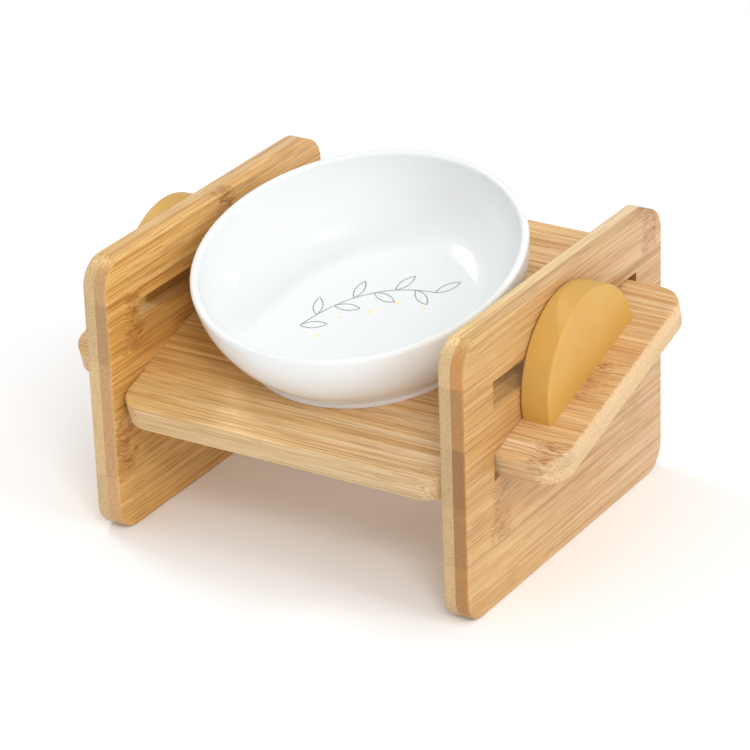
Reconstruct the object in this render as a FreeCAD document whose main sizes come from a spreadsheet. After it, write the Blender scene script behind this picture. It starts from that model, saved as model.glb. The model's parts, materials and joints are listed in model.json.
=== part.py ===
import FreeCAD, Part
import os
import Sketcher

# A pet bowl stand. Two bamboo side panels carry a bamboo shelf that slopes down to the front.
# The shelf's tongue passes through a slot in each panel and ends in an ear outside it. A half-disc
# key stands on each ear, with its tab in the ear's mortise, and keeps the panel on the tongue.
# A flat slot in each panel, which joins the sloping one at the back, takes the tongue when the
# shelf is fitted level. A glazed bowl stands on the shelf on a soft ring.
#
# Millimetres and degrees. X runs from the left panel to the right one, Y from front to back and
# Z up. The origin is on the floor, midway between the panels and between their ends.

SIZES = [
    # Boards, each glued up from two equal plies
    ("board_thickness", 12.0),
    ("edge_round", 1.2),
    # Side panels
    ("panel_gap", 162.0),
    ("panel_depth", 170.0),
    ("panel_height", 127.0),
    ("panel_corner_radius", 12.5),
    # Slots: the flat slot's middle is measured down from the panel's top
    ("flat_slot_drop", 30.4),
    ("slot_clearance", 0.2),
    ("slot_end_clearance", 1.5),
    # Shelf: set in from the panels' ends when level, with a shoulder at each end of the tongue
    ("shelf_tilt", 15.75),
    ("shelf_inset", 0.7),
    ("shelf_shoulder", 24.3),
    ("shelf_corner_radius", 12.5),
    ("tongue_front_gap", 0.4),
    ("ear_length", 29.0),
    # Lock keys
    ("key_radius", 37.0),
    ("key_thickness", 13.8),
    ("key_edge_round", 1.1),
    ("key_gap", 0.3),
    ("tab_length", 44.0),
    ("tab_thickness", 6.0),
    ("tab_end_gap", 0.5),
    ("mortise_clearance", 0.3),
    # Bowl, from the foot's underside up, and the ring under its foot
    ("bowl_side_clearance", 8.0),
    ("bowl_height", 35.8),
    ("bowl_wall", 3.6),
    ("bowl_floor_height", 5.0),
    ("bowl_floor_round", 29.0),
    ("bowl_foot_inset", 15.0),
    ("bowl_foot_height", 1.0),
    ("bowl_foot_width", 6.0),
    ("bowl_foot_recess", 1.5),
    ("grip_ring_height", 2.2),
]

# Formulas in the sheet's sizes
PLY = "(Sizes.board_thickness / 2)"
INNER_FACE = "(Sizes.panel_gap / 2)"
OUTER_FACE = f"({INNER_FACE} + Sizes.board_thickness)"
PANEL_END = "(Sizes.panel_depth / 2)"

SHELF_DEPTH = "(Sizes.panel_depth - 2 * Sizes.shelf_inset)"
SHELF_MIDDLE = f"({SHELF_DEPTH} / 2)"
TONGUE_FRONT = "Sizes.shelf_shoulder"
TONGUE_BACK = f"({SHELF_DEPTH} - Sizes.shelf_shoulder)"
EAR_END = f"({OUTER_FACE} + Sizes.ear_length)"

FLAT_SLOT_MIDDLE = "(Sizes.panel_height - Sizes.flat_slot_drop)"
FLAT_SLOT_HALF = f"({PLY} + Sizes.slot_clearance)"
FLAT_SLOT_TOP = f"({FLAT_SLOT_MIDDLE} + {FLAT_SLOT_HALF})"
FLAT_SLOT_BOTTOM = f"({FLAT_SLOT_MIDDLE} - {FLAT_SLOT_HALF})"
SLOT_END = f"(({TONGUE_BACK} - {TONGUE_FRONT}) / 2 + Sizes.slot_end_clearance)"

# The tilted tongue starts just behind the slots' front end, and its upper back edge is as high
# as it is when the shelf is level.
TILT = "Sizes.shelf_tilt"
SHELF_FRONT_Y = f"(Sizes.tongue_front_gap - {SLOT_END} - {TONGUE_FRONT} * cos({TILT}))"
SHELF_FRONT_Z = f"({FLAT_SLOT_MIDDLE} + {PLY} - {TONGUE_BACK} * sin({TILT}))"

KEY_INNER_FACE = f"({OUTER_FACE} + Sizes.key_gap)"
KEY_OUTER_FACE = f"({KEY_INNER_FACE} + Sizes.key_thickness)"
KEY_MIDDLE = f"({KEY_INNER_FACE} + Sizes.key_thickness / 2)"
MORTISE_HALF_WIDTH = "(Sizes.tab_thickness / 2 + Sizes.mortise_clearance)"
MORTISE_HALF_LENGTH = "(Sizes.tab_length / 2 + Sizes.mortise_clearance)"

# The bowl's wall is one arc that leaves the foot's top edge and ends upright at the rim.
RIM_RADIUS = f"({INNER_FACE} - Sizes.bowl_side_clearance)"
FOOT_RADIUS = f"({RIM_RADIUS} - Sizes.bowl_foot_inset)"
FOOT_INNER_RADIUS = f"({FOOT_RADIUS} - Sizes.bowl_foot_width)"
WALL_RISE = "(Sizes.bowl_height - Sizes.bowl_foot_height)"
WALL_ARC_RADIUS = f"((Sizes.bowl_foot_inset ^ 2 + {WALL_RISE} ^ 2) / (2 * Sizes.bowl_foot_inset))"
WALL_ARC_CENTRE = f"({RIM_RADIUS} - {WALL_ARC_RADIUS})"
RIM_ROUND_SHARE = 0.45

TOLERANCE = 1e-4
X_DIRECTION = FreeCAD.Vector(1, 0, 0)
Y_DIRECTION = FreeCAD.Vector(0, 1, 0)
Z_DIRECTION = FreeCAD.Vector(0, 0, 1)


def make_sheet(doc):
    sheet = doc.addObject("Spreadsheet::Sheet", "Sizes")
    for row, (alias, value) in enumerate(SIZES, 1):
        sheet.set(f"A{row}", alias)
        sheet.set(f"B{row}", str(value))
        sheet.setAlias(f"B{row}", alias)
    doc.recompute()
    return sheet


def on_shelf(along, above):
    """Y and Z of a point at a distance along the tilted shelf's top and a height square to it."""
    across = f"({SHELF_FRONT_Y} + {along} * cos({TILT}) - {above} * sin({TILT}))"
    up = f"({SHELF_FRONT_Z} + {along} * sin({TILT}) + {above} * cos({TILT}))"
    return across, up


def slope_height(across, above):
    """Z at a given Y on the line that lies a square distance above the tilted shelf's top."""
    return f"({SHELF_FRONT_Z} + ({across} - {SHELF_FRONT_Y}) * tan({TILT}) + {above} / cos({TILT}))"


# Bodies, sketches and features

def new_body(doc, label):
    body = doc.addObject("PartDesign::Body", label)
    body.Label = label
    return body


def place_body(body, base, tilt=None):
    if tilt:
        body.Placement = FreeCAD.Placement(FreeCAD.Vector(), FreeCAD.Rotation(X_DIRECTION, 1))
        body.setExpression(".Placement.Rotation.Angle", tilt)
    for axis, formula in zip("xyz", base):
        body.setExpression(f".Placement.Base.{axis}", formula)


def new_sketch(body, name, plane):
    sketch = body.newObject("Sketcher::SketchObject", name)
    for feature in body.Origin.OriginFeatures:
        if feature.Role == plane:
            sketch.AttachmentSupport = (feature, [""])
    sketch.MapMode = "FlatFace"
    return sketch


def bind(sketch, constraint, formula):
    index = sketch.addConstraint(constraint)
    sketch.setExpression(f"Constraints[{index}]", formula)


def pin(sketch, geometry, point, across, up):
    """Hold one point of a sketch at two formulas, measured from the sketch's origin."""
    place = sketch.getPoint(geometry, point)
    bind(sketch, Sketcher.Constraint("DistanceX", -1, 1, geometry, point, place.x), across)
    bind(sketch, Sketcher.Constraint("DistanceY", -1, 1, geometry, point, place.y), up)


def draw_polygon(sketch, corners):
    """Closed outline of straight lines whose corners are pairs of formulas.

    The lines start out as a regular polygon, and the pinned corners then draw them into place.
    """
    first = sketch.GeometryCount
    count = len(corners)
    spread = FreeCAD.Rotation(Z_DIRECTION, 360.0 / count)
    places = [X_DIRECTION]
    for _ in corners[1:]:
        places.append(spread.multVec(places[-1]))
    for index in range(count):
        sketch.addGeometry(Part.LineSegment(places[index], places[(index + 1) % count]))
    for index in range(count):
        sketch.addConstraint(Sketcher.Constraint(
            "Coincident", first + index, 2, first + (index + 1) % count, 1))
    for index, (across, up) in enumerate(corners):
        pin(sketch, first + index, 1, across, up)


def rectangle(left, bottom, right, top):
    return [(left, bottom), (right, bottom), (right, top), (left, top)]


def draw_circle(sketch, radius):
    circle = sketch.addGeometry(Part.Circle())
    sketch.addConstraint(Sketcher.Constraint("Coincident", circle, 3, -1, 1))
    bind(sketch, Sketcher.Constraint("Radius", circle, 1.0), radius)


def add_pad(body, name, sketch, length, reverse=False):
    pad = body.newObject("PartDesign::Pad", name)
    pad.Profile = sketch
    pad.Reversed = reverse
    pad.setExpression("Length", length)
    body.Document.recompute()
    return pad


def add_through_pocket(body, name, sketch, reverse=False):
    pocket = body.newObject("PartDesign::Pocket", name)
    pocket.Profile = sketch
    pocket.Type = "ThroughAll"
    pocket.Reversed = reverse
    body.Document.recompute()
    return pocket


def add_turned(body, kind, name, sketch):
    """Full turn of a sketch about its upright axis, adding or cutting."""
    feature = body.newObject(f"PartDesign::{kind}", name)
    feature.Profile = sketch
    feature.ReferenceAxis = (sketch, ["V_Axis"])
    feature.Angle = 360.0
    body.Document.recompute()
    return feature


def add_fillet(body, name, base, wanted, radius):
    names = [f"Edge{number}" for number, edge in enumerate(base.Shape.Edges, 1) if wanted(edge)]
    fillet = body.newObject("PartDesign::Fillet", name)
    fillet.Base = (base, names)
    fillet.setExpression("Radius", radius)
    body.Document.recompute()
    return fillet


# Edge choices

def is_straight_along(edge, direction):
    if not isinstance(edge.Curve, Part.Line):
        return False
    return edge.Curve.Direction.cross(direction).Length < TOLERANCE


def lies_at(edge, direction, distance):
    return all(abs(vertex.Point.dot(direction) - distance) < TOLERANCE for vertex in edge.Vertexes)


def is_circle_at(edge, height):
    return isinstance(edge.Curve, Part.Circle) and lies_at(edge, Z_DIRECTION, height)


# Pieces

def make_panel_ply(doc, label, low_side, rounded_side):
    """One ply of a side panel, padded towards +X, with the edges eased on its low or high side."""
    body = new_body(doc, label)
    place_body(body, (low_side, "0", "0"))

    outline = new_sketch(body, "Outline", "YZ_Plane")
    draw_polygon(outline, rectangle(f"-{PANEL_END}", "0", PANEL_END, "Sizes.panel_height"))
    board = add_pad(body, "Board", outline, PLY)

    corners = add_fillet(
        body, "Corners", board,
        lambda edge: is_straight_along(edge, X_DIRECTION),
        "Sizes.panel_corner_radius")

    box = board.Shape.BoundBox
    face = box.XMax if rounded_side == "high" else box.XMin
    add_fillet(
        body, "EasedEdges", corners,
        lambda edge: lies_at(edge, X_DIRECTION, face),
        "Sizes.edge_round")

    slot_front = f"-{SLOT_END}"
    flat_slot = new_sketch(body, "FlatSlot", "YZ_Plane")
    draw_polygon(flat_slot, rectangle(slot_front, FLAT_SLOT_BOTTOM, SLOT_END, FLAT_SLOT_TOP))
    add_through_pocket(body, "FlatSlotCut", flat_slot, reverse=True)

    underside = "(-Sizes.board_thickness)"
    sloping_slot = new_sketch(body, "SlopingSlot", "YZ_Plane")
    draw_polygon(sloping_slot, [
        (slot_front, slope_height(slot_front, underside)),
        on_shelf(TONGUE_BACK, underside),
        on_shelf(TONGUE_BACK, "Sizes.slot_clearance"),
        (slot_front, slope_height(slot_front, "Sizes.slot_clearance")),
    ])
    add_through_pocket(body, "SlopingSlotCut", sloping_slot, reverse=True)
    return body


def make_shelf_ply(doc, label, top_depth, rounded_side):
    """One ply of the shelf, drawn in plan from its front edge and padded down from its top."""
    body = new_body(doc, label)
    place_body(body, ("0", *on_shelf("0", f"(-{top_depth})")), TILT)

    plan = new_sketch(body, "Plan", "XY_Plane")
    draw_polygon(plan, [
        (f"-{INNER_FACE}", "0"),
        (INNER_FACE, "0"),
        (INNER_FACE, TONGUE_FRONT),
        (EAR_END, TONGUE_FRONT),
        (EAR_END, TONGUE_BACK),
        (INNER_FACE, TONGUE_BACK),
        (INNER_FACE, SHELF_DEPTH),
        (f"-{INNER_FACE}", SHELF_DEPTH),
        (f"-{INNER_FACE}", TONGUE_BACK),
        (f"-{EAR_END}", TONGUE_BACK),
        (f"-{EAR_END}", TONGUE_FRONT),
        (f"-{INNER_FACE}", TONGUE_FRONT),
    ])
    board = add_pad(body, "Board", plan, PLY, reverse=True)
    box = board.Shape.BoundBox

    def is_outer_corner(edge):
        if not is_straight_along(edge, Z_DIRECTION):
            return False
        at_ends = lies_at(edge, X_DIRECTION, box.XMin) or lies_at(edge, X_DIRECTION, box.XMax)
        return at_ends or lies_at(edge, Y_DIRECTION, box.YMin) or lies_at(edge, Y_DIRECTION, box.YMax)

    corners = add_fillet(body, "Corners", board, is_outer_corner, "Sizes.shelf_corner_radius")
    face = box.ZMax if rounded_side == "high" else box.ZMin
    add_fillet(
        body, "EasedEdges", corners,
        lambda edge: lies_at(edge, Z_DIRECTION, face),
        "Sizes.edge_round")

    mortises = new_sketch(body, "Mortises", "XY_Plane")
    for side in ("", "-"):
        draw_polygon(mortises, rectangle(
            f"({side}{KEY_MIDDLE} - {MORTISE_HALF_WIDTH})",
            f"({SHELF_MIDDLE} - {MORTISE_HALF_LENGTH})",
            f"({side}{KEY_MIDDLE} + {MORTISE_HALF_WIDTH})",
            f"({SHELF_MIDDLE} + {MORTISE_HALF_LENGTH})"))
    add_through_pocket(body, "MortiseCut", mortises)
    return body


def make_lock_key(doc, label, low_side):
    """Half-disc that stands on the ear, with a tab below it that fills the mortise."""
    body = new_body(doc, label)
    place_body(body, (low_side, *on_shelf(SHELF_MIDDLE, "0")), TILT)

    half_disc = new_sketch(body, "HalfDisc", "YZ_Plane")
    half_disc.addGeometry(Part.Arc(X_DIRECTION, Y_DIRECTION, -X_DIRECTION))
    half_disc.addGeometry(Part.LineSegment(-X_DIRECTION, X_DIRECTION))
    half_disc.addConstraint(Sketcher.Constraint("Coincident", 0, 3, -1, 1))
    half_disc.addConstraint(Sketcher.Constraint("Coincident", 0, 2, 1, 1))
    half_disc.addConstraint(Sketcher.Constraint("Coincident", 0, 1, 1, 2))
    half_disc.addConstraint(Sketcher.Constraint("PointOnObject", 0, 1, -1))
    half_disc.addConstraint(Sketcher.Constraint("PointOnObject", 0, 2, -1))
    bind(half_disc, Sketcher.Constraint("Radius", 0, 1.0), "Sizes.key_radius")
    disc = add_pad(body, "Disc", half_disc, "Sizes.key_thickness")

    add_fillet(
        body, "RoundedArcs", disc,
        lambda edge: isinstance(edge.Curve, Part.Circle),
        "Sizes.key_edge_round")

    tab = new_sketch(body, "Tab", "XY_Plane")
    draw_polygon(tab, rectangle(
        "((Sizes.key_thickness - Sizes.tab_thickness) / 2)",
        "(-Sizes.tab_length / 2)",
        "((Sizes.key_thickness + Sizes.tab_thickness) / 2)",
        "(Sizes.tab_length / 2)"))
    add_pad(body, "TabPad", tab, "Sizes.board_thickness - Sizes.tab_end_gap", reverse=True)
    return body


def draw_wall_section(sketch, sheet, wall_offset, low_height, corners):
    """Half section bounded by the bowl wall's arc, set in by wall_offset, and by straight lines.

    The arc rises from low_height to the rim. The lines lead from the rim by the corners, given as
    pairs of formulas, to the arc's lower end.
    """
    rough = Part.Circle(FreeCAD.Vector(0, sheet.bowl_height, 0), Z_DIRECTION, sheet.bowl_height)
    arc = sketch.addGeometry(Part.ArcOfCircle(rough, -1.0, 0.0))
    pin(sketch, arc, 3, WALL_ARC_CENTRE, "Sizes.bowl_height")
    pin(sketch, arc, 2, f"({RIM_RADIUS} - {wall_offset})", "Sizes.bowl_height")
    low = sketch.getPoint(arc, 1)
    bind(sketch, Sketcher.Constraint("DistanceY", -1, 1, arc, 1, low.y), low_height)

    last = (arc, 2)
    for index, (across, up) in enumerate(corners, 1):
        rough_corner = FreeCAD.Vector(-index, -index, 0)
        line = sketch.addGeometry(Part.LineSegment(sketch.getPoint(*last), rough_corner))
        sketch.addConstraint(Sketcher.Constraint("Coincident", line, 1, *last))
        pin(sketch, line, 2, across, up)
        last = (line, 2)
    closing = sketch.addGeometry(Part.LineSegment(sketch.getPoint(*last), low))
    sketch.addConstraint(Sketcher.Constraint("Coincident", closing, 1, *last))
    sketch.addConstraint(Sketcher.Constraint("Coincident", closing, 2, arc, 1))


def make_bowl(doc, sheet, label):
    """Turned bowl: a solid form, hollowed inside and under the foot, with a rounded rim."""
    body = new_body(doc, label)
    place_body(body, ("0", *on_shelf(SHELF_MIDDLE, "Sizes.grip_ring_height")), TILT)

    outside = new_sketch(body, "Outside", "XZ_Plane")
    draw_wall_section(
        outside, sheet, "0", "Sizes.bowl_foot_height",
        [("0", "Sizes.bowl_height"), ("0", "0"), (FOOT_RADIUS, "0")])
    add_turned(body, "Revolution", "Form", outside)

    inside = new_sketch(body, "Inside", "XZ_Plane")
    draw_wall_section(
        inside, sheet, "Sizes.bowl_wall", "Sizes.bowl_floor_height",
        [("0", "Sizes.bowl_height"), ("0", "Sizes.bowl_floor_height")])
    hollow = add_turned(body, "Groove", "Hollow", inside)

    floor = add_fillet(
        body, "FloorRound", hollow,
        lambda edge: is_circle_at(edge, sheet.bowl_floor_height),
        "Sizes.bowl_floor_round")
    add_fillet(
        body, "RimRound", floor,
        lambda edge: is_circle_at(edge, sheet.bowl_height),
        f"Sizes.bowl_wall * {RIM_ROUND_SHARE}")

    recess = new_sketch(body, "FootRecess", "XY_Plane")
    draw_circle(recess, FOOT_INNER_RADIUS)
    cut = body.newObject("PartDesign::Pocket", "FootRecessCut")
    cut.Profile = recess
    cut.Reversed = True
    cut.setExpression("Length", "Sizes.bowl_foot_recess")
    doc.recompute()
    return body


def make_grip_ring(doc, label):
    body = new_body(doc, label)
    place_body(body, ("0", *on_shelf(SHELF_MIDDLE, "0")), TILT)
    ring = new_sketch(body, "Ring", "XY_Plane")
    draw_circle(ring, FOOT_RADIUS)
    draw_circle(ring, FOOT_INNER_RADIUS)
    add_pad(body, "RingPad", ring, "Sizes.grip_ring_height")
    return body


# Checks and files

def check_document(doc, pieces):
    for item in doc.Objects:
        if "Invalid" in item.State or "Error" in item.State:
            raise RuntimeError(f"{item.Label} failed: {item.State}")
        if item.TypeId in ("PartDesign::Pocket", "PartDesign::Groove"):
            if item.Shape.Volume > item.BaseFeature.Shape.Volume - 1.0:
                raise RuntimeError(f"{item.Label} cuts nothing")
    for piece in pieces:
        if piece.Shape.isNull() or not piece.Shape.isValid() or len(piece.Shape.Solids) != 1:
            raise RuntimeError(f"{piece.Label} is not one sound solid")


def main():
    doc = FreeCAD.newDocument("PetBowlStand")
    sheet = make_sheet(doc)
    pieces = [
        make_panel_ply(doc, "left_panel_outer_ply", f"-{OUTER_FACE}", "low"),
        make_panel_ply(doc, "left_panel_inner_ply", f"-{INNER_FACE} - {PLY}", "high"),
        make_panel_ply(doc, "right_panel_inner_ply", INNER_FACE, "low"),
        make_panel_ply(doc, "right_panel_outer_ply", f"{INNER_FACE} + {PLY}", "high"),
        make_shelf_ply(doc, "shelf_upper_ply", "0", "high"),
        make_shelf_ply(doc, "shelf_lower_ply", PLY, "low"),
        make_lock_key(doc, "left_lock_key", f"-{KEY_OUTER_FACE}"),
        make_lock_key(doc, "right_lock_key", KEY_INNER_FACE),
        make_bowl(doc, sheet, "bowl"),
        make_grip_ring(doc, "bowl_grip_ring"),
    ]
    doc.recompute()
    check_document(doc, pieces)
    os.makedirs("parts", exist_ok=True)
    for piece in pieces:
        piece.Shape.exportStep(f"parts/{piece.Label}.step")
        print(f"{piece.Label}: {piece.Shape.Volume / 1000:.1f} cm3")


main()
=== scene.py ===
import json
import math

import bmesh
import bpy
from mathutils import Matrix, Vector


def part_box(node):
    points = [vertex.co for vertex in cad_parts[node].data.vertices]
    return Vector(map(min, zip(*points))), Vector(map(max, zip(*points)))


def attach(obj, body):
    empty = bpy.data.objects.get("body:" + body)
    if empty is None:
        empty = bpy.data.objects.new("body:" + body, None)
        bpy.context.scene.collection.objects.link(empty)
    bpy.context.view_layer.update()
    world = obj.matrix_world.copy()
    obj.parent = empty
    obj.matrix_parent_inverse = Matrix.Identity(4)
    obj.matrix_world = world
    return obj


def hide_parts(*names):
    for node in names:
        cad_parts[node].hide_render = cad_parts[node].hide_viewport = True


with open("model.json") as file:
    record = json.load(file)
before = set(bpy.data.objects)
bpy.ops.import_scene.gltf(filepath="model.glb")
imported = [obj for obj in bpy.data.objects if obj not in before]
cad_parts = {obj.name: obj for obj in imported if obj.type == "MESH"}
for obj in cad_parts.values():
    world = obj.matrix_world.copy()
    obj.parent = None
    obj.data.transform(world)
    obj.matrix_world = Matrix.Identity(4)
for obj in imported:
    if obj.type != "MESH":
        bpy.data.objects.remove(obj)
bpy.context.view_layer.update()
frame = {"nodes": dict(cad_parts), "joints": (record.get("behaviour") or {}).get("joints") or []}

# Sizes in millimetres, as the shelf, the bowl and its grip ring were made
MM = 0.001
SHELF_DEPTH = 168.6
GRIP_RING_HEIGHT = 2.2
FOOT_RADIUS = 58.0
FOOT_INNER_RADIUS = 52.0
BOWL_FLOOR = 5.0

# Turned pieces: steps round the axis, and the gap in millimetres that is closed where the ends meet
TURNED_SEGMENTS = 160
TURNED_SEAM = 0.002

# The bowl lifts square to the shelf, and its grip ring stands on the middle of the shelf
shelf_normal = Vector(next(joint["axis"] for joint in frame["joints"] if joint["name"] == "bowl_lift"))
ring_low, ring_high = (Vector(corner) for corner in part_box("bowl_grip_ring"))
shelf_middle = (ring_low + ring_high) / 2 - shelf_normal * (GRIP_RING_HEIGHT / 2 * MM)
SHELF_PLACE = (
    Matrix.Translation(shelf_middle) @ Matrix.Rotation(math.atan2(-shelf_normal.y, shelf_normal.z), 4, "X"))


def on_shelf(along, above):
    """Place on the shelf, up its slope from the middle and square to it, in millimetres."""
    return SHELF_PLACE @ Matrix.Translation(Vector((0.0, along, above)) * MM)


def linear(colour):
    """Linear RGBA of an sRGB hex colour."""
    channels = [int(colour[i:i + 2], 16) / 255 for i in (1, 3, 5)]
    return [c / 12.92 if c <= 0.04045 else ((c + 0.055) / 1.055) ** 2.4 for c in channels] + [1.0]


def add_node(tree, kind, inputs=None, **settings):
    """Add a node, set its properties, and give each named or numbered input a value or a link."""
    made = tree.nodes.new(kind)
    for name, value in settings.items():
        setattr(made, name, value)
    for key, value in (inputs or {}).items():
        if isinstance(value, bpy.types.NodeSocket):
            tree.links.new(value, made.inputs[key])
        else:
            made.inputs[key].default_value = value
    return made


def finish_node(node, material):
    """Give a CAD node its one material."""
    slots = frame["nodes"][node].data.materials
    slots.clear()
    slots.append(material)


def new_material(name):
    """A material with an empty node tree that ends in one Principled shader."""
    material = bpy.data.materials.new(name)
    material.use_nodes = True
    tree = material.node_tree
    tree.nodes.clear()
    shader = add_node(tree, "ShaderNodeBsdfPrincipled")
    add_node(tree, "ShaderNodeOutputMaterial", {"Surface": shader.outputs[0]})
    return material, tree, shader


# Bamboo boards

# The grain runs from front to back in a panel, whose strips lie one above the other from the floor up, and
# from left to right in the shelf, whose strips lie one behind the other from the front edge up the slope
PANEL_GRAIN = Matrix(((0, 0, 1), (1, 0, 0), (0, 1, 0))).to_4x4()
SHELF_GRAIN = on_shelf(-SHELF_DEPTH / 2, 0.0)

# The first strip's edge lies within this depth, and a strip without a knuckle has it past the board's end
FIRST_EDGE_DEPTH = 25.0
NO_KNUCKLE = 190.0

# From one board to the next, the strips' places along the cane move by this share
BOARD_STEP = 0.13


def along_grain(tree, point, length, width):
    """The point measured in lengths and widths, in millimetres, of the marks that follow the grain."""
    marks_per_metre = (1 / (length * MM), 1 / (width * MM), 1 / (width * MM))
    return add_node(
        tree, "ShaderNodeVectorMath", {0: point, 1: marks_per_metre}, operation="MULTIPLY").outputs[0]


def fibre_marks(tree, point, length, width, share, strength):
    """Fibres as long cells, of which a share is marked, each by its own amount up to the strength."""
    cell = add_node(
        tree, "ShaderNodeTexVoronoi", {"Vector": along_grain(tree, point, length, width), "Scale": 1.0})
    chance = add_node(tree, "ShaderNodeSeparateColor", {0: cell.outputs["Color"]})
    marked = add_node(
        tree, "ShaderNodeMapRange",
        {"Value": chance.outputs["Red"], "From Min": 1 - share, "To Max": strength})
    return marked.outputs[0]


def strip_values(tree, grain, strips, seed):
    """Tones of a strip's face and sawn end, nearness to its knuckle and its shift along the cane."""
    span, reach, shift_step = 200.0, 400.0, 0.37
    core, half_width, unevenness, patch = 2.0, 9.0, 18.0, 6.0

    # One ramp across the ply holds every strip's values, a knuckle's place as a share of the reach
    parts = add_node(tree, "ShaderNodeSeparateXYZ", {0: grain})
    across = add_node(
        tree, "ShaderNodeMath", {0: parts.outputs["Y"], 1: 1 / (span * MM)}, operation="MULTIPLY")
    strip = add_node(tree, "ShaderNodeValToRGB", {0: across.outputs[0]})
    strip.color_ramp.interpolation = "CONSTANT"
    stops = strip.color_ramp.elements
    stops.remove(stops[1])
    for index, (start, knuckle, tone, end_tone) in enumerate(strips):
        stop = stops.new(start / span) if index else stops[0]
        stop.color = (tone, knuckle / reach + 0.5, (shift_step * index + seed) % 1.0, end_tone)
    values = add_node(tree, "ShaderNodeSeparateColor", {0: strip.outputs[0]})

    # Along the grain a knuckle has a core, soft sides and an uneven edge
    knuckle_at = add_node(
        tree, "ShaderNodeMath",
        {0: values.outputs["Green"], 1: reach * MM, 2: -0.5 * reach * MM}, operation="MULTIPLY_ADD")
    offset = add_node(
        tree, "ShaderNodeMath", {0: parts.outputs["X"], 1: knuckle_at.outputs[0]}, operation="SUBTRACT")
    uneven = add_node(
        tree, "ShaderNodeTexNoise", {"Vector": grain, "Scale": 1 / (patch * MM), "Detail": 2.0})
    shifted = add_node(
        tree, "ShaderNodeMath", {0: uneven.outputs[0], 1: unevenness * MM, 2: offset.outputs[0]},
        operation="MULTIPLY_ADD")
    centred = add_node(
        tree, "ShaderNodeMath", {0: shifted.outputs[0], 1: unevenness / 2 * MM}, operation="SUBTRACT")
    distance = add_node(tree, "ShaderNodeMath", {0: centred.outputs[0]}, operation="ABSOLUTE")
    nearness = add_node(
        tree, "ShaderNodeMapRange",
        {"Value": distance.outputs[0], "From Min": core * MM, "From Max": half_width * MM,
         "To Min": 1.0, "To Max": 0.0},
        interpolation_type="SMOOTHSTEP")
    return values.outputs["Red"], strip.outputs["Alpha"], nearness.outputs[0], values.outputs["Blue"]


def bent_grain(tree, grain, knuckle, shift):
    """The point moved to its strip's own piece of cane, with fibres that waver at the knuckle."""
    spread, waver_width, waver_length = (0.73, 0.0, 0.31), 2.0, 3.0
    apart = add_node(tree, "ShaderNodeCombineXYZ", {"X": shift, "Z": shift})
    moved = add_node(
        tree, "ShaderNodeVectorMath", {0: apart.outputs[0], 1: spread, 2: grain}, operation="MULTIPLY_ADD")
    waver = add_node(
        tree, "ShaderNodeTexNoise", {"Vector": grain, "Scale": 1 / (waver_length * MM), "Detail": 1.0})
    amount = add_node(tree, "ShaderNodeMath", {0: waver.outputs[0], 1: knuckle}, operation="MULTIPLY")
    sideways = add_node(tree, "ShaderNodeCombineXYZ", {"Y": amount.outputs[0]})
    bent = add_node(
        tree, "ShaderNodeVectorMath",
        {0: sideways.outputs[0], 1: (0.0, waver_width * MM, 0.0), 2: moved.outputs[0]},
        operation="MULTIPLY_ADD")
    return bent.outputs[0]


def facing_amount(tree, normal, direction):
    """How far the surface faces a direction or its opposite: 1 on a cut made square to it, 0 along it."""
    still_along, already_square = 0.3, 0.9
    facing = add_node(tree, "ShaderNodeVectorMath", {0: normal, 1: direction}, operation="DOT_PRODUCT")
    size = add_node(tree, "ShaderNodeMath", {0: facing.outputs["Value"]}, operation="ABSOLUTE")
    return add_node(
        tree, "ShaderNodeMapRange",
        {"Value": size.outputs[0], "From Min": still_along, "From Max": already_square},
        interpolation_type="SMOOTHSTEP").outputs[0]


def cane_colour(tree, grain, point, strip_tone, facing_edge, dark, mid, pale):
    """The cane between its fibres: banded, more golden at one end with painted warm light, greyer on the
    first strip's edge.
    """
    band_length, band_width, band_contrast, painted_warmth_reach, edge_grey = 150.0, 2.5, 1.1, 70.0, 0.5
    bands = along_grain(tree, point, band_length, band_width)
    band = add_node(tree, "ShaderNodeTexNoise", {"Vector": bands, "Scale": 1.0, "Detail": 3.0})
    tone = add_node(
        tree, "ShaderNodeMath", {0: band.outputs[0], 1: band_contrast, 2: strip_tone},
        operation="MULTIPLY_ADD")
    tone = add_node(tree, "ShaderNodeMath", {0: tone.outputs[0], 1: band_contrast / 2}, operation="SUBTRACT")
    banded = add_node(tree, "ShaderNodeValToRGB", {0: tone.outputs[0]})
    banded.color_ramp.elements[0].color = dark
    banded.color_ramp.elements[1].color = pale
    banded.color_ramp.elements.new(0.5).color = mid

    # A panel is golden towards the front, and the shelf towards the left: this warm cast is painted light
    parts = add_node(tree, "ShaderNodeSeparateXYZ", {0: grain})
    painted_warmth = add_node(
        tree, "ShaderNodeMapRange",
        {"Value": parts.outputs["X"], "From Min": -painted_warmth_reach * MM, "From Max": painted_warmth_reach * MM})
    tint = add_node(
        tree, "ShaderNodeMix",
        {"Factor": painted_warmth.outputs[0], "A": linear("#FFF8D8"), "B": linear("#FFFFFF")}, data_type="RGBA")
    tinted = add_node(
        tree, "ShaderNodeMix", {"Factor": 1.0, "A": banded.outputs[0], "B": tint.outputs["Result"]},
        data_type="RGBA", blend_type="MULTIPLY")

    in_first = add_node(
        tree, "ShaderNodeMath", {0: parts.outputs["Y"], 1: FIRST_EDGE_DEPTH * MM}, operation="LESS_THAN")
    first_edge = add_node(
        tree, "ShaderNodeMath", {0: facing_edge, 1: in_first.outputs[0]}, operation="MULTIPLY")
    grey = add_node(tree, "ShaderNodeMapRange", {"Value": first_edge.outputs[0], "To Max": edge_grey})
    edged = add_node(
        tree, "ShaderNodeMix",
        {"Factor": grey.outputs[0], "A": tinted.outputs["Result"], "B": linear("#CDB48C")}, data_type="RGBA")
    return edged.outputs["Result"]


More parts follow.
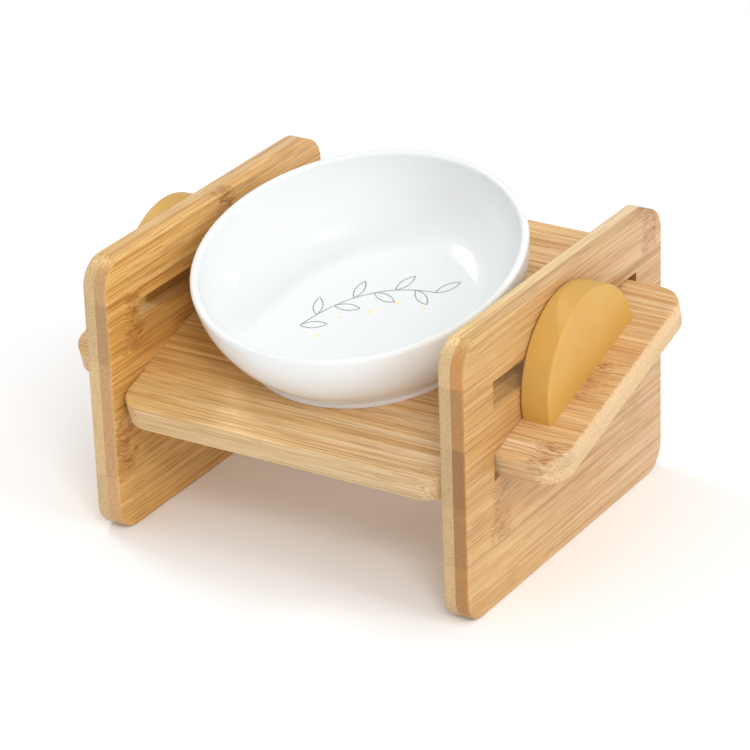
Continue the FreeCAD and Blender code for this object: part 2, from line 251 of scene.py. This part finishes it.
def fibre_cover(tree, point, knuckle):
    """Long fibres, short ones, and the crowded dashes of a knuckle."""
    long_fibres = fibre_marks(tree, point, length=70, width=0.42, share=0.42, strength=0.58)
    short_fibres = fibre_marks(tree, point, length=15, width=0.34, share=0.28, strength=0.60)
    dashes = fibre_marks(tree, point, length=3.2, width=0.7, share=0.5, strength=0.85)
    at_knuckle = add_node(tree, "ShaderNodeMath", {0: dashes, 1: knuckle}, operation="MULTIPLY")
    plain = add_node(tree, "ShaderNodeMath", {0: long_fibres, 1: short_fibres}, operation="MAXIMUM")
    cover = add_node(
        tree, "ShaderNodeMath", {0: plain.outputs[0], 1: at_knuckle.outputs[0]}, operation="MAXIMUM")
    return cover.outputs[0]


def bamboo(name, place, strips, colours, seed):
    """Pressed bamboo under satin lacquer.

    A ply is glued up from strips, mostly 27 mm wide, that differ in tone. Dark fibres run along each
    strip and show as dots where they are sawn across. A strip has a brown, wavy knuckle where the cane
    had a joint. place turns the directions along the grain, across the strips and through the ply to
    the stand's. strips lists, across the ply, each strip's start and knuckle in millimetres, and the
    tones of its face and its sawn end from 0, dark, to 1, pale. colours are those of a dark, middling
    and pale strip, of the fibres and of a sawn end.
    """
    knuckle_stain, darkest_end, palest_end, most_dots, dot_shade = 0.20, 0.35, 1.65, 1.9, 0.5
    lacquer_roughness, fibre_roughness, fibre_depth = 0.42, 0.6, 0.05
    dark, mid, pale, fibre, end = (linear(colour) for colour in colours)
    material, tree, shader = new_material(name)
    coordinates = add_node(tree, "ShaderNodeTexCoord")
    grain = add_node(
        tree, "ShaderNodeMapping",
        {"Vector": coordinates.outputs["Object"], "Location": place.to_translation(),
         "Rotation": place.to_euler()},
        vector_type="TEXTURE").outputs[0]
    along, across, _ = place.to_3x3().col
    facing_end = facing_amount(tree, coordinates.outputs["Normal"], along)
    facing_edge = facing_amount(tree, coordinates.outputs["Normal"], across)
    strip_tone, end_tone, knuckle, shift = strip_values(tree, grain, strips, seed)
    point = bent_grain(tree, grain, knuckle, shift)

    # A knuckle is stained, and a sawn end has its own colour and tone
    cane = cane_colour(tree, grain, point, strip_tone, facing_edge, dark, mid, pale)
    stain = add_node(tree, "ShaderNodeMath", {0: knuckle, 1: knuckle_stain}, operation="MULTIPLY")
    stained = add_node(
        tree, "ShaderNodeMix", {"Factor": stain.outputs[0], "A": cane, "B": fibre}, data_type="RGBA")
    end_shade = add_node(
        tree, "ShaderNodeMapRange", {"Value": end_tone, "To Min": darkest_end, "To Max": palest_end})
    end_colour = add_node(
        tree, "ShaderNodeMix", {"Factor": 1.0, "A": end, "B": end_shade.outputs[0]},
        data_type="RGBA", blend_type="MULTIPLY")
    sawn = add_node(
        tree, "ShaderNodeMix",
        {"Factor": facing_end, "A": stained.outputs["Result"], "B": end_colour.outputs["Result"]},
        data_type="RGBA")

    # Fibres show on a dark sawn end more than on a pale one
    end_dots = add_node(tree, "ShaderNodeMapRange", {"Value": end_tone, "To Min": most_dots, "To Max": 0.0})
    share = add_node(
        tree, "ShaderNodeMapRange", {"Value": facing_end, "To Min": 1.0, "To Max": end_dots.outputs[0]})
    cover = fibre_cover(tree, point, knuckle)
    fibres = add_node(tree, "ShaderNodeMath", {0: cover, 1: share.outputs[0]}, operation="MULTIPLY")
    end_fibre = [dot_shade * channel for channel in end[:3]] + [1.0]
    fibre_colour = add_node(
        tree, "ShaderNodeMix", {"Factor": facing_end, "A": fibre, "B": end_fibre}, data_type="RGBA")
    grained = add_node(
        tree, "ShaderNodeMix",
        {"Factor": fibres.outputs[0], "A": sawn.outputs["Result"], "B": fibre_colour.outputs["Result"]},
        data_type="RGBA")
    tree.links.new(grained.outputs["Result"], shader.inputs["Base Color"])

    # The lacquer lies duller and a little lower over the fibres
    rough = add_node(
        tree, "ShaderNodeMapRange",
        {"Value": fibres.outputs[0], "To Min": lacquer_roughness, "To Max": fibre_roughness})
    tree.links.new(rough.outputs[0], shader.inputs["Roughness"])
    bump = add_node(
        tree, "ShaderNodeBump",
        {"Height": fibres.outputs[0], "Strength": 0.3, "Distance": fibre_depth * MM}, invert=True)
    tree.links.new(bump.outputs[0], shader.inputs["Normal"])
    return material


# Dark, middling and pale strips, fibres and sawn ends
ROSY = ("#B07D48", "#CCA476", "#DEC29B", "#96643A", "#AD7B46")
GOLDEN = ("#B67D39", "#E0B06E", "#F2D3A3", "#844B18", "#C99C69")
HONEY = ("#B8803D", "#DEB47E", "#F6E1BD", "#98622A", "#D2B084")
STRAW = ("#BD9056", "#DBB584", "#EDD4AD", "#A37239", "#CFAE7E")

boards = {
    "right_panel_outer_ply": (PANEL_GRAIN, ROSY, [
        (0, NO_KNUCKLE, 0.62, 0.56), (27, -57, 0.55, 0.44), (54, NO_KNUCKLE, 0.42, 0.33),
        (81, NO_KNUCKLE, 0.50, 0.54), (108, 74, 0.56, 0.74)]),
    "right_panel_inner_ply": (PANEL_GRAIN, STRAW, [
        (0, NO_KNUCKLE, 0.62, 0.50), (27, 30, 0.56, 0.46), (54, NO_KNUCKLE, 0.64, 0.40),
        (81, -20, 0.58, 0.44), (108, NO_KNUCKLE, 0.88, 0.54)]),
    "left_panel_inner_ply": (PANEL_GRAIN, GOLDEN, [
        (0, NO_KNUCKLE, 0.60, 0.56), (27, -78, 0.56, 0.50), (54, NO_KNUCKLE, 0.52, 0.49),
        (81, -66, 0.42, 0.36), (108, 7, 0.58, 0.50)]),
    "left_panel_outer_ply": (PANEL_GRAIN, STRAW, [
        (0, 40, 0.60, 0.52), (27, NO_KNUCKLE, 0.52, 0.58), (54, -10, 0.56, 0.60),
        (81, NO_KNUCKLE, 0.50, 0.52), (108, NO_KNUCKLE, 0.54, 0.55)]),
    "shelf_upper_ply": (SHELF_GRAIN, HONEY, [
        (0, NO_KNUCKLE, 0.60, 0.60), (11, 114, 0.60, 0.50), (38, -105, 0.46, 0.60),
        (65, 109, 0.46, 0.62), (92, NO_KNUCKLE, 0.44, 0.62), (119, -105, 0.52, 0.64),
        (146, NO_KNUCKLE, 0.54, 0.60)]),
    "shelf_lower_ply": (SHELF_GRAIN, STRAW, [
        (0, NO_KNUCKLE, 0.66, 0.56), (24, 60, 0.60, 0.58), (51, NO_KNUCKLE, 0.54, 0.60),
        (78, -80, 0.60, 0.60), (105, NO_KNUCKLE, 0.64, 0.58), (132, 10, 0.58, 0.50)]),
}
for number, (node, (place, colours, strips)) in enumerate(boards.items()):
    finish_node(node, bamboo(f"pressed_bamboo_{node}", place, strips, colours, BOARD_STEP * number))


# Forms grown by geometry nodes

def new_tree(name, sockets):
    """A geometry tree with its named inputs and one output."""
    tree = bpy.data.node_groups.new(name, "GeometryNodeTree")
    for socket, kind in sockets.items():
        tree.interface.new_socket(socket, in_out="INPUT", socket_type="NodeSocket" + kind)
    tree.interface.new_socket("Made", in_out="OUTPUT", socket_type="NodeSocketGeometry")
    return tree, add_node(tree, "NodeGroupInput").outputs


def end_tree(tree, geometry, finish):
    """End a tree in plain geometry of one material."""
    real = add_node(tree, "GeometryNodeRealizeInstances", {"Geometry": geometry})
    finished = add_node(tree, "GeometryNodeSetMaterial", {"Geometry": real.outputs[0], "Material": finish})
    add_node(tree, "NodeGroupOutput", {0: finished.outputs[0]})


def grow(name, mesh, tree, values, place):
    """The plain closed mesh that a tree makes from a starting mesh, in its place on the stand."""
    holder = bpy.data.objects.new(name, mesh)
    bpy.context.scene.collection.objects.link(holder)
    modifier = holder.modifiers.new(tree.name, "NODES")
    modifier.node_group = tree
    for item in tree.interface.items_tree:
        if item.name in values:
            modifier[item.identifier] = values[item.name]
    bpy.context.view_layer.update()
    graph = bpy.context.evaluated_depsgraph_get()
    grown = bpy.data.meshes.new_from_object(holder.evaluated_get(graph))
    holder.modifiers.clear()
    holder.data = grown
    bpy.data.meshes.remove(mesh)
    grown.transform(place)
    shell = bmesh.new()
    shell.from_mesh(grown)
    bmesh.ops.recalc_face_normals(shell, faces=shell.faces)
    shell.to_mesh(grown)
    shell.free()
    return holder


def make_turned(name, profile, place, material, tree):
    """A turned piece. profile lists radius and height pairs in millimetres."""
    line = bpy.data.meshes.new(name + "_profile")
    line.from_pydata(
        [(radius * MM, height * MM, 0.0) for radius, height in profile],
        [(i, i + 1) for i in range(len(profile) - 1)], [])
    values = {"Segments": TURNED_SEGMENTS, "Seam": TURNED_SEAM * MM, "Finish": material}
    return grow(name, line, tree, values, place)


# Turned bowl and grip ring: a profile in the plane of radius and height, carried round the upright axis

def turned_tree():
    """A tree that carries a profile round in segments and closes the seam and the poles."""
    tree, given = new_tree("turned_form", {
        "Profile": "Geometry", "Segments": "Int", "Seam": "Float", "Finish": "Material"})
    points = add_node(
        tree, "GeometryNodeAttributeDomainSize", {"Geometry": given["Profile"]}).outputs["Point Count"]
    columns = add_node(tree, "ShaderNodeMath", {0: given["Segments"], 1: 1.0}, operation="ADD")
    grid = add_node(
        tree, "GeometryNodeMeshGrid", {"Vertices X": columns.outputs[0], "Vertices Y": points})
    index = add_node(tree, "GeometryNodeInputIndex").outputs[0]
    row = add_node(tree, "ShaderNodeMath", {0: index, 1: points}, operation="MODULO")
    column = add_node(tree, "ShaderNodeMath", {0: index, 1: row.outputs[0]}, operation="SUBTRACT")
    turn = add_node(tree, "ShaderNodeMath", {0: column.outputs[0], 1: points}, operation="DIVIDE")
    turn = add_node(tree, "ShaderNodeMath", {0: turn.outputs[0], 1: given["Segments"]}, operation="DIVIDE")
    angle = add_node(tree, "ShaderNodeMath", {0: turn.outputs[0], 1: math.tau}, operation="MULTIPLY")
    place = add_node(tree, "GeometryNodeInputPosition").outputs[0]
    sample = add_node(
        tree, "GeometryNodeSampleIndex",
        {"Geometry": given["Profile"], "Value": place, "Index": row.outputs[0]}, data_type="FLOAT_VECTOR")
    section = add_node(tree, "ShaderNodeSeparateXYZ", {0: sample.outputs["Value"]})
    cosine = add_node(tree, "ShaderNodeMath", {0: angle.outputs[0]}, operation="COSINE")
    sine = add_node(tree, "ShaderNodeMath", {0: angle.outputs[0]}, operation="SINE")
    radius = section.outputs["X"]
    x = add_node(tree, "ShaderNodeMath", {0: radius, 1: cosine.outputs[0]}, operation="MULTIPLY")
    y = add_node(tree, "ShaderNodeMath", {0: radius, 1: sine.outputs[0]}, operation="MULTIPLY")
    point = add_node(
        tree, "ShaderNodeCombineXYZ", {"X": x.outputs[0], "Y": y.outputs[0], "Z": section.outputs["Y"]})
    formed = add_node(
        tree, "GeometryNodeSetPosition", {"Geometry": grid.outputs["Mesh"], "Position": point.outputs[0]})
    closed = add_node(
        tree, "GeometryNodeMergeByDistance", {"Geometry": formed.outputs[0], "Distance": given["Seam"]})
    smooth = add_node(tree, "GeometryNodeSetShadeSmooth", {"Geometry": closed.outputs[0]})
    end_tree(tree, smooth.outputs[0], given["Finish"])
    return tree


def arc(centre, radius, start, end, count):
    """Points on an arc, from the start angle to the end one in degrees, both ends included."""
    angles = [math.radians(start + (end - start) * i / count) for i in range(count + 1)]
    return [(centre[0] + radius * math.cos(a), centre[1] + radius * math.sin(a)) for a in angles]


def bowl_profile():
    """Half section of the bowl, from the middle of its floor over the rim to the middle underneath."""
    rim, foot, foot_inner = 73.0, FOOT_RADIUS, FOOT_INNER_RADIUS
    height, foot_height, floor, recess = 35.8, 1.0, BOWL_FLOOR, 1.5
    wall, floor_round, rim_round, small_round = 3.6, 29.0, 1.62, 0.3
    rise = height - foot_height
    inset = rim - foot
    outer = (inset ** 2 + rise ** 2) / (2 * inset)
    inner = outer - wall
    centre = (rim - outer, height)
    floor_edge = centre[0] + math.sqrt((inner - floor_round) ** 2 - (height - floor - floor_round) ** 2)
    round_centre = (floor_edge, floor + floor_round)
    meeting = math.degrees(math.atan2(round_centre[1] - height, round_centre[0] - centre[0]))
    foot_angle = math.degrees(math.atan2(foot_height - height, foot - centre[0]))
    lip = math.degrees(math.asin(rim_round / outer))

    # The flat floor and the recess below it have points on the way, which keep their faces short
    return [
        (0.0, floor), (floor_edge * 0.35, floor), (floor_edge * 0.7, floor),
        *arc(round_centre, floor_round, -90, meeting, 18),
        *arc(centre, inner, meeting, -lip, 14)[1:],
        *arc((rim - wall + rim_round, height - rim_round), rim_round, 180, 90, 6)[1:],
        *arc((rim - rim_round, height - rim_round), rim_round, 90, 0, 6),
        *arc(centre, outer, -lip, foot_angle, 24)[1:],
        *arc((foot - small_round, small_round), small_round, 0, -90, 3),
        *arc((foot_inner + small_round, small_round), small_round, -90, -180, 3),
        (foot_inner, recess), (foot_inner * 0.5, recess), (0.0, recess),
    ]


def ring_profile():
    """Section of the grip ring, as wide as the bowl's foot, with its corners rounded."""
    outer, inner, height, small_round = FOOT_RADIUS, FOOT_INNER_RADIUS, GRIP_RING_HEIGHT, 0.35
    corners = [
        ((outer - small_round, small_round), -90), ((outer - small_round, height - small_round), 0),
        ((inner + small_round, height - small_round), 90), ((inner + small_round, small_round), 180)]
    points = [point for corner, start in corners for point in arc(corner, small_round, start, start + 90, 3)]
    return points + points[:1]


# Printed sprig on the floor of the bowl: a stem with leaves by turns on its two sides, and berries beside it

STEM = {"Start": (-24.0, -20.0, 0.0), "Bend": (-12.0, 16.0, 0.0), "End": (22.0, 18.0, 0.0)}
LEAF = {"Leaf Tip": (12.0, 0.0, 0.0), "Leaf Side": (6.0, 4.2, 0.0)}
PRINT_FLATNESS = (1.0, 1.0, 0.15)


def in_metres(points):
    """The named points, given in millimetres."""
    return {name: tuple(MM * part for part in point) for name, point in points.items()}


def sprig_tree(name, sockets):
    """A tree with the stem's three points and its own sizes as inputs, and the stem as a curve."""
    tree, given = new_tree(name, {"Start": "Vector", "Bend": "Vector", "End": "Vector", **sockets})
    stem = add_node(
        tree, "GeometryNodeCurveQuadraticBezier",
        {"Resolution": 32, "Start": given["Start"], "Middle": given["Bend"], "End": given["End"]})
    return tree, given, stem.outputs[0]


def leafy_stem_tree():
    """The stem and its leaves, drawn as fine flat lines."""
    tree, given, stem = sprig_tree("leafy_stem", {
        "Leaves": "Int", "Leaf Tip": "Vector", "Leaf Side": "Vector", "Leaf Angle": "Float",
        "Line Radius": "Float", "Flatness": "Vector", "Ink": "Material"})

    # A leaf is two bowed lines from its base to its tip
    other_side = add_node(
        tree, "ShaderNodeVectorMath", {0: given["Leaf Side"], 1: (1.0, -1.0, 1.0)}, operation="MULTIPLY")
    leaf = add_node(tree, "GeometryNodeJoinGeometry")
    for side in (given["Leaf Side"], other_side.outputs[0]):
        line = add_node(
            tree, "GeometryNodeCurveQuadraticBezier",
            {"Resolution": 16, "Start": (0.0, 0.0, 0.0), "Middle": side, "End": given["Leaf Tip"]})
        tree.links.new(line.outputs[0], leaf.inputs[0])

    # Leaves turn to one side of the stem and the other by turns
    buds = add_node(
        tree, "GeometryNodeCurveToPoints", {"Curve": stem, "Count": given["Leaves"]}, mode="COUNT")
    index = add_node(tree, "GeometryNodeInputIndex").outputs[0]
    odd = add_node(tree, "ShaderNodeMath", {0: index, 1: 2.0}, operation="MODULO")
    sign = add_node(tree, "ShaderNodeMath", {0: odd.outputs[0], 1: 2.0, 2: -1.0}, operation="MULTIPLY_ADD")
    angle = add_node(
        tree, "ShaderNodeMath", {0: sign.outputs[0], 1: given["Leaf Angle"]}, operation="MULTIPLY")
    turn = add_node(tree, "ShaderNodeCombineXYZ", {"Z": angle.outputs[0]})
    turn = add_node(tree, "FunctionNodeEulerToRotation", {0: turn.outputs[0]})
    along = add_node(
        tree, "FunctionNodeAlignRotationToVector", {"Vector": buds.outputs["Tangent"]}, axis="X")
    aside = add_node(
        tree, "FunctionNodeRotateRotation",
        {"Rotation": along.outputs[0], "Rotate By": turn.outputs[0]}, rotation_space="LOCAL")
    leaves = add_node(
        tree, "GeometryNodeInstanceOnPoints",
        {"Points": buds.outputs["Points"], "Instance": leaf.outputs[0], "Rotation": aside.outputs[0]})

    lines = add_node(tree, "GeometryNodeJoinGeometry")
    tree.links.new(stem, lines.inputs[0])
    tree.links.new(leaves.outputs[0], lines.inputs[0])
    single_lines = add_node(tree, "GeometryNodeRealizeInstances", {"Geometry": lines.outputs[0]})
    pen = add_node(
        tree, "GeometryNodeCurvePrimitiveCircle", {"Resolution": 8, "Radius": given["Line Radius"]})
    drawn = add_node(
        tree, "GeometryNodeCurveToMesh",
        {"Curve": single_lines.outputs[0], "Profile Curve": pen.outputs[0], "Fill Caps": True})
    flat = add_node(
        tree, "GeometryNodeTransform", {"Geometry": drawn.outputs[0], "Scale": given["Flatness"]})
    end_tree(tree, flat.outputs[0], given["Ink"])
    return tree


def berry_tree():
    """Berries along the stem, each at its own distance beside it and of its own size."""
    tree, given, stem = sprig_tree("berries_beside_stem", {
        "Berries": "Int", "Berry Radius": "Float", "Smallest Share": "Float", "Nearest": "Float",
        "Farthest": "Float", "Place Seed": "Int", "Size Seed": "Int", "Flatness": "Vector",
        "Ink": "Material"})
    berry = add_node(
        tree, "GeometryNodeMeshUVSphere", {"Segments": 20, "Rings": 8, "Radius": given["Berry Radius"]})
    places = add_node(
        tree, "GeometryNodeCurveToPoints", {"Curve": stem, "Count": given["Berries"]}, mode="COUNT")
    offset = add_node(
        tree, "FunctionNodeRandomValue",
        {2: given["Nearest"], 3: given["Farthest"], "Seed": given["Place Seed"]}, data_type="FLOAT")
    beside = add_node(
        tree, "ShaderNodeVectorMath", {0: places.outputs["Normal"], "Scale": offset.outputs[1]},
        operation="SCALE")
    spread = add_node(
        tree, "GeometryNodeSetPosition", {"Geometry": places.outputs["Points"], "Offset": beside.outputs[0]})
    size = add_node(
        tree, "FunctionNodeRandomValue",
        {2: given["Smallest Share"], 3: 1.0, "Seed": given["Size Seed"]}, data_type="FLOAT")
    berries = add_node(
        tree, "GeometryNodeInstanceOnPoints",
        {"Points": spread.outputs[0], "Instance": berry.outputs["Mesh"], "Scale": size.outputs[1]})
    flat = add_node(
        tree, "GeometryNodeTransform", {"Geometry": berries.outputs[0], "Scale": given["Flatness"]})
    end_tree(tree, flat.outputs[0], given["Ink"])
    return tree


def print_ink(name, colour, faded):
    """Ceramic ink under the glaze: soft and a little uneven, as glossy as the glaze above it."""
    cloud_size = 3 * MM
    material, tree, shader = new_material(name)
    point = add_node(tree, "ShaderNodeTexCoord").outputs["Object"]
    cloud = add_node(tree, "ShaderNodeTexNoise", {"Vector": point, "Scale": 1 / cloud_size, "Detail": 2.0})
    mixed = add_node(
        tree, "ShaderNodeMix",
        {"Factor": cloud.outputs[0], "A": linear(colour), "B": linear(faded)}, data_type="RGBA")
    tree.links.new(mixed.outputs["Result"], shader.inputs["Base Color"])
    shader.inputs["Roughness"].default_value = 0.1
    return material


# Finishes of the bowl, its grip ring and the keys

def white_glaze():
    """Glossy white glaze on stoneware: even and bright, with a faint ripple and faint clouds in its tone and
    gloss.
    """
    ripple_size, ripple_depth, cloud_size = 9 * MM, 0.05 * MM, 30 * MM
    material, tree, shader = new_material("glossy_white_glaze")
    point = add_node(tree, "ShaderNodeTexCoord").outputs["Object"]
    ripple = add_node(tree, "ShaderNodeTexNoise", {"Vector": point, "Scale": 1 / ripple_size, "Detail": 1.0})
    cloud = add_node(tree, "ShaderNodeTexNoise", {"Vector": point, "Scale": 1 / cloud_size, "Detail": 2.0})
    colour = add_node(
        tree, "ShaderNodeMix",
        {"Factor": cloud.outputs[0], "A": linear("#EAECEC"), "B": linear("#E6E9E9")}, data_type="RGBA")
    tree.links.new(colour.outputs["Result"], shader.inputs["Base Color"])
    rough = add_node(
        tree, "ShaderNodeMapRange", {"Value": cloud.outputs[0], "To Min": 0.10, "To Max": 0.17})
    tree.links.new(rough.outputs[0], shader.inputs["Roughness"])
    bump = add_node(
        tree, "ShaderNodeBump", {"Height": ripple.outputs[0], "Strength": 0.15, "Distance": ripple_depth})
    tree.links.new(bump.outputs[0], shader.inputs["Normal"])
    shader.inputs["IOR"].default_value = 1.52
    return material


def soft_grip():
    """Moulded silicone rubber: pale grey with a cool cast, dull all over.

    Its grit is drawn coarser than the real one, so that it shows.
    """
    grit_size = 0.6 * MM
    material, tree, shader = new_material("moulded_silicone_grip")
    point = add_node(tree, "ShaderNodeTexCoord").outputs["Object"]
    grit = add_node(tree, "ShaderNodeTexNoise", {"Vector": point, "Scale": 1 / grit_size, "Detail": 2.0})
    colour = add_node(
        tree, "ShaderNodeMix",
        {"Factor": grit.outputs[0], "A": linear("#EEEBEE"), "B": linear("#E3E0E5")}, data_type="RGBA")
    tree.links.new(colour.outputs["Result"], shader.inputs["Base Color"])
    shader.inputs["Roughness"].default_value = 0.6
    return material


def yellow_key():
    """Moulded plastic with a fine matt grain: warm yellow, slightly uneven in the mass.

    The grain is drawn coarser than the real one, so that it shows.
    """
    cloud_size, grain_size, grain_depth = 14 * MM, 0.5 * MM, 0.05 * MM
    material, tree, shader = new_material("moulded_matt_yellow_plastic")
    point = add_node(tree, "ShaderNodeTexCoord").outputs["Object"]
    cloud = add_node(tree, "ShaderNodeTexNoise", {"Vector": point, "Scale": 1 / cloud_size, "Detail": 3.0})
    grain = add_node(tree, "ShaderNodeTexNoise", {"Vector": point, "Scale": 1 / grain_size, "Detail": 2.0})
    colour = add_node(
        tree, "ShaderNodeMix",
        {"Factor": cloud.outputs[0], "A": linear("#D2A655"), "B": linear("#C99946")}, data_type="RGBA")
    tree.links.new(colour.outputs["Result"], shader.inputs["Base Color"])
    rough = add_node(tree, "ShaderNodeMapRange", {"Value": grain.outputs[0], "To Min": 0.42, "To Max": 0.58})
    tree.links.new(rough.outputs[0], shader.inputs["Roughness"])
    bump = add_node(
        tree, "ShaderNodeBump", {"Height": grain.outputs[0], "Strength": 0.2, "Distance": grain_depth})
    tree.links.new(bump.outputs[0], shader.inputs["Normal"])
    return material


# Pieces in their places

turned_form = turned_tree()
bowl_foot = on_shelf(0.0, GRIP_RING_HEIGHT)
bowl = make_turned("glazed_bowl", bowl_profile(), bowl_foot, white_glaze(), turned_form)
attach(bowl, "bowl")
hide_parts("bowl")

grip = make_turned("grip_ring", ring_profile(), on_shelf(0.0, 0.0), soft_grip(), turned_form)
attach(grip, "bowl")
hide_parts("bowl_grip_ring")

bowl_floor = on_shelf(0.0, GRIP_RING_HEIGHT + BOWL_FLOOR)
sprig = grow(
    "printed_sprig", bpy.data.meshes.new("sprig_start"), leafy_stem_tree(),
    {**in_metres(STEM), **in_metres(LEAF), "Leaves": 8, "Leaf Angle": 0.85, "Line Radius": 0.3 * MM,
     "Flatness": PRINT_FLATNESS, "Ink": print_ink("grey_glaze_ink", "#8E9294", "#A6A9AA")},
    bowl_floor)
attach(sprig, "bowl")

berries = grow(
    "printed_berries", bpy.data.meshes.new("berry_start"), berry_tree(),
    {**in_metres(STEM), "Berries": 5, "Berry Radius": 1.5 * MM, "Smallest Share": 0.5, "Nearest": 8 * MM,
     "Farthest": 13 * MM, "Place Seed": 4, "Size Seed": 9, "Flatness": PRINT_FLATNESS,
     "Ink": print_ink("yellow_glaze_ink", "#F1DDA6", "#F4E7C4")},
    bowl_floor)
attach(berries, "bowl")

key_finish = yellow_key()
for node in ("left_lock_key", "right_lock_key"):
    finish_node(node, key_finish)


# Studio, with its sizes in metres: a white floor, soft lights and the camera

FLOOR_REACH = 4.0
STAND_MIDDLE = Vector((0.0, 0.0, 0.08))
SOFTBOX_DISTANCE = 1.5


def white_floor():
    """Matt white paper on a table that glows a little from below, which keeps the shadows pale."""
    material, _, shader = new_material("matt_white_paper")
    shader.inputs["Base Color"].default_value = linear("#F8F8F8")
    shader.inputs["Emission Color"].default_value = linear("#FFFFFF")
    shader.inputs["Emission Strength"].default_value = 0.06
    shader.inputs["Roughness"].default_value = 0.9
    shader.inputs["Specular IOR Level"].default_value = 0.1
    return material


def light_tent():
    """White light from all around that grows towards the side where the camera stands."""
    dim, bright = 0.58, 0.82
    world = bpy.data.worlds.new("light_tent")
    world.use_nodes = True
    tree = world.node_tree
    direction = add_node(tree, "ShaderNodeTexCoord").outputs["Generated"]
    bright_side = Vector((0.60, -0.60, 0.52)).normalized()
    facing = add_node(tree, "ShaderNodeVectorMath", {0: direction, 1: bright_side}, operation="DOT_PRODUCT")
    strength = add_node(
        tree, "ShaderNodeMapRange", {"Value": facing.outputs["Value"], "To Min": dim, "To Max": bright})
    tree.links.new(strength.outputs[0], tree.nodes["Background"].inputs["Strength"])
    tree.nodes["Background"].inputs["Color"].default_value = (1.0, 1.0, 1.0, 1.0)
    bpy.context.scene.world = world


def add_softbox(name, direction, width, height, watts, mirrored):
    """A soft light that hangs in a direction from the stand, faces it and may show in the glaze."""
    light = bpy.data.lights.new(name, "AREA")
    light.shape = "RECTANGLE"
    light.size = width
    light.size_y = height
    light.energy = watts
    lamp = bpy.data.objects.new(name, light)
    lamp.visible_glossy = mirrored
    towards = Vector(direction).normalized()
    lamp.location = STAND_MIDDLE + towards * SOFTBOX_DISTANCE
    lamp.rotation_euler = (-towards).to_track_quat("-Z", "Y").to_euler()
    bpy.context.scene.collection.objects.link(lamp)


floor_mesh = bpy.data.meshes.new("studio_floor")
floor_corners = [(x * FLOOR_REACH, y * FLOOR_REACH, 0.0) for x, y in ((-1, -1), (1, -1), (1, 1), (-1, 1))]
floor_mesh.from_pydata(floor_corners, [], [range(4)])
floor_mesh.materials.append(white_floor())
floor = bpy.data.objects.new("studio_floor", floor_mesh)
bpy.context.scene.collection.objects.link(floor)

light_tent()
add_softbox("key_softbox", (0.52, -0.58, 0.63), width=0.4, height=0.4, watts=6.0, mirrored=False)
add_softbox("right_softbox", (0.85, -0.05, 0.52), width=0.6, height=0.6, watts=5.0, mirrored=False)
add_softbox("overhead_softbox", (0.16, -0.21, 0.96), width=0.45, height=0.45, watts=0.8, mirrored=True)
add_softbox("left_softbox", (-0.64, 0.15, 0.75), width=0.40, height=0.13, watts=4.6, mirrored=True)
add_softbox("right_back_softbox", (0.50, 0.70, 0.50), width=0.25, height=0.25, watts=1.2, mirrored=True)

# The photograph's viewpoint, from its own perspective
VIEW_TARGET = Vector((0.0, 0.0, 60.0)) * MM
VIEW_DISTANCE = 1642.64 * MM
VIEW_AZIMUTH, VIEW_ELEVATION, VIEW_ROLL = (math.radians(a) for a in (32.372, 25.583, -1.978))
IMAGE_SIDE, FOCAL_PIXELS, CENTRE_U, CENTRE_V = 750.0, 3793.38, 379.53, 373.22

towards_camera = Vector((
    math.sin(VIEW_AZIMUTH) * math.cos(VIEW_ELEVATION),
    -math.cos(VIEW_AZIMUTH) * math.cos(VIEW_ELEVATION),
    math.sin(VIEW_ELEVATION)))
camera_data = bpy.data.cameras.new("photo_view")
camera_data.sensor_width = 36.0
camera_data.lens = FOCAL_PIXELS * camera_data.sensor_width / IMAGE_SIDE
camera_data.shift_x = 0.5 - CENTRE_U / IMAGE_SIDE
camera_data.shift_y = CENTRE_V / IMAGE_SIDE - 0.5
camera = bpy.data.objects.new("photo_view", camera_data)
level_view = (-towards_camera).to_track_quat("-Z", "Y").to_matrix().to_4x4()
camera.matrix_world = (
    Matrix.Translation(VIEW_TARGET + towards_camera * VIEW_DISTANCE)
    @ level_view @ Matrix.Rotation(VIEW_ROLL, 4, "Z"))
bpy.context.scene.collection.objects.link(camera)
bpy.context.scene.camera = camera

bpy.context.scene.view_settings.view_transform = "Standard"
